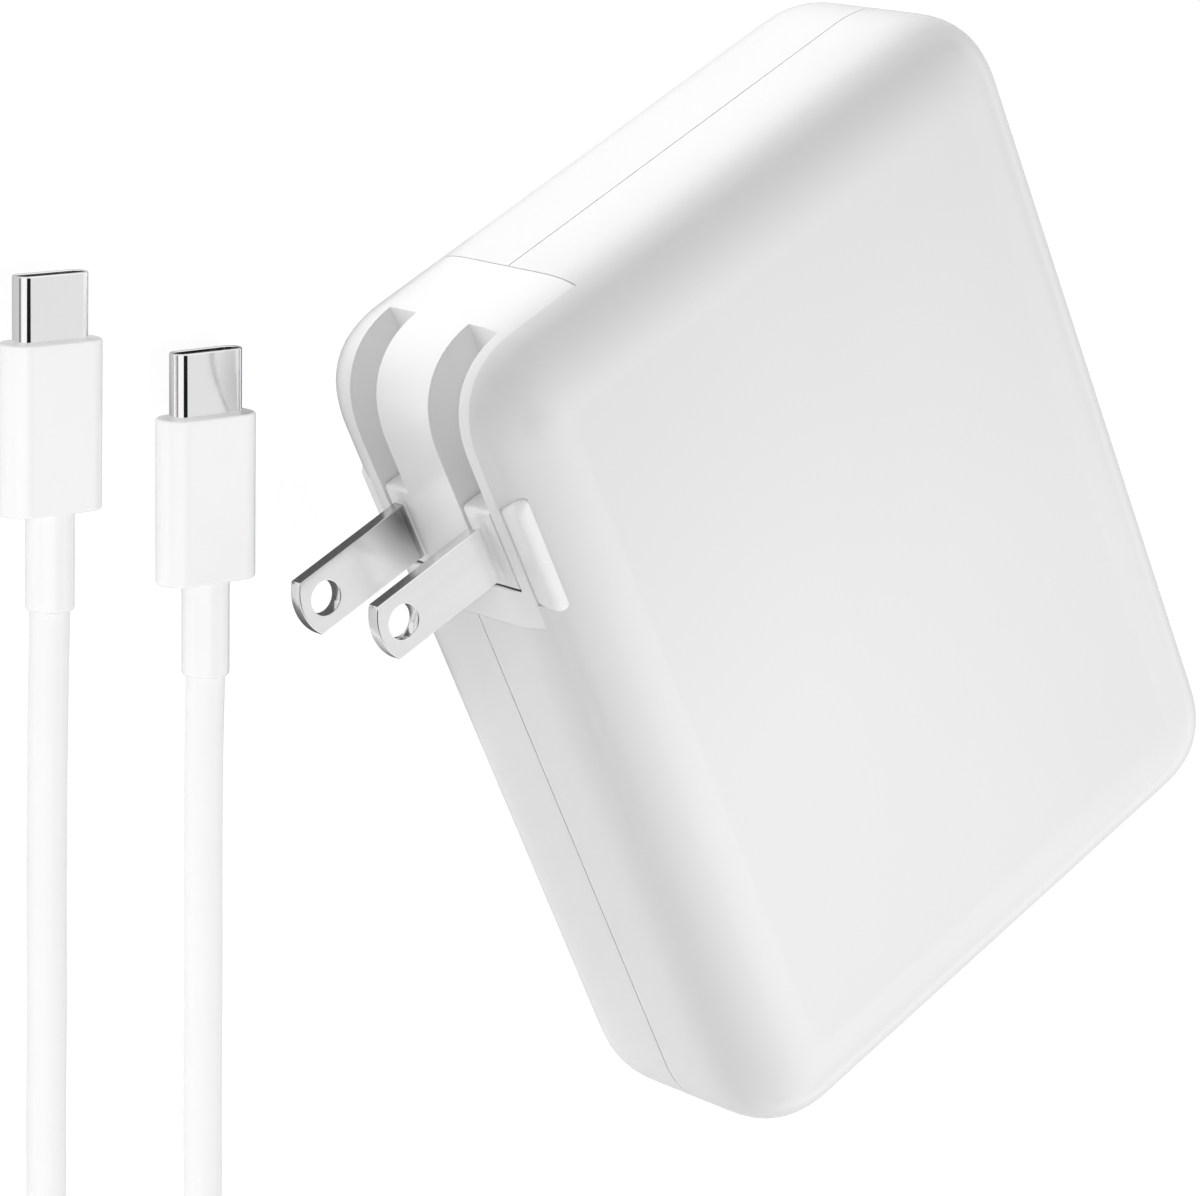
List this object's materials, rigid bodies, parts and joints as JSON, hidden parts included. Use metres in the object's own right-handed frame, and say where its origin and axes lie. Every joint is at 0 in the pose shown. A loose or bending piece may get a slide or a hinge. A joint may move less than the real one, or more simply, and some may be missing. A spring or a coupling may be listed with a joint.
{
  "type": "laptop power adapter",
  "caption": "White rounded brick charger with fold-out mains prongs in a slide-off corner plug module, and a separate coiled lead with a reversible plug at each end.",
  "frame": {"origin": "centre of the case's back face, the face that it lies on", "axes": "+Z out of the front face, +Y along the long side towards the plug module, and the open prongs point to -X"},
  "size_m": [0.1984, 0.1671, 0.03],
  "materials": {
    "case_white": "fine satin",
    "lead_white": "soft satin",
    "plug_white": "polished",
    "nickel": "bright plated",
    "spring_steel": "rolled",
    "gilt_contact": "plated",
    "dark_plastic": "moulded",
    "circuit_board": "solder mask",
    "ferrite": "sintered",
    "copper_wire": "enamelled",
    "coil_tape": "taped winding",
    "capacitor_sleeve": "shrink sleeve",
    "film_yellow": "dipped",
    "fuse_glass": "ceramic tube",
    "aluminium": "rolled sheet",
    "soft_pad": "silicone",
    "tie_grey": "soft strap"
  },
  "bodies": {
    "case": {"front_shell": "case_white", "back_shell": "case_white", "inlet_well": "dark_plastic", "inlet_pins": "nickel", "lock_stud": "spring_steel", "main_board": "circuit_board", "output_board": "circuit_board", "board_pins": "gilt_contact", "fuse": "fuse_glass", "line_capacitor": "film_yellow", "line_choke_core": "ferrite", "line_choke_coils": "copper_wire", "bridge_rectifier": "dark_plastic", "bulk_capacitors": "capacitor_sleeve", "boost_choke_core": "ferrite", "boost_choke_coil": "coil_tape", "transformer_core": "ferrite", "transformer_coil": "coil_tape", "power_switches": "dark_plastic", "heat_fin": "aluminium", "output_capacitors": "aluminium", "front_spreader": "aluminium", "back_spreader": "aluminium", "thermal_pads": "soft_pad", "port_shell": "nickel", "port_tongue": "dark_plastic", "plug_a_shell": "nickel", "plug_a_insert": "dark_plastic", "plug_a_cover": "plug_white", "plug_a_relief": "lead_white", "plug_b_shell": "nickel", "plug_b_insert": "dark_plastic", "plug_b_cover": "plug_white", "plug_b_relief": "lead_white", "cord_run_a": "lead_white", "cord_coil": "lead_white", "cord_run_b": "lead_white", "cord_ties": "tie_grey"},
    "plug_module": {"module_housing": "case_white", "module_base": "case_white", "contact_a": "gilt_contact", "contact_b": "gilt_contact", "detent_spring": "spring_steel", "stud_clip": "spring_steel"},
    "prongs": {"prong_carrier": "case_white", "prong_back": "nickel", "prong_front": "nickel"}
  },
  "joints": [
    {"name": "module_slide", "type": "slide", "parent": "case", "child": "plug_module", "axis": [-1, 0, 0], "range_m": [0, 0.009]},
    {"name": "prong_fold", "type": "hinge", "parent": "plug_module", "child": "prongs", "pos_m": [-0.034, 0.0292, 0.015], "axis": [0, 0, -1], "range_deg": [0, 90]}
  ]
}
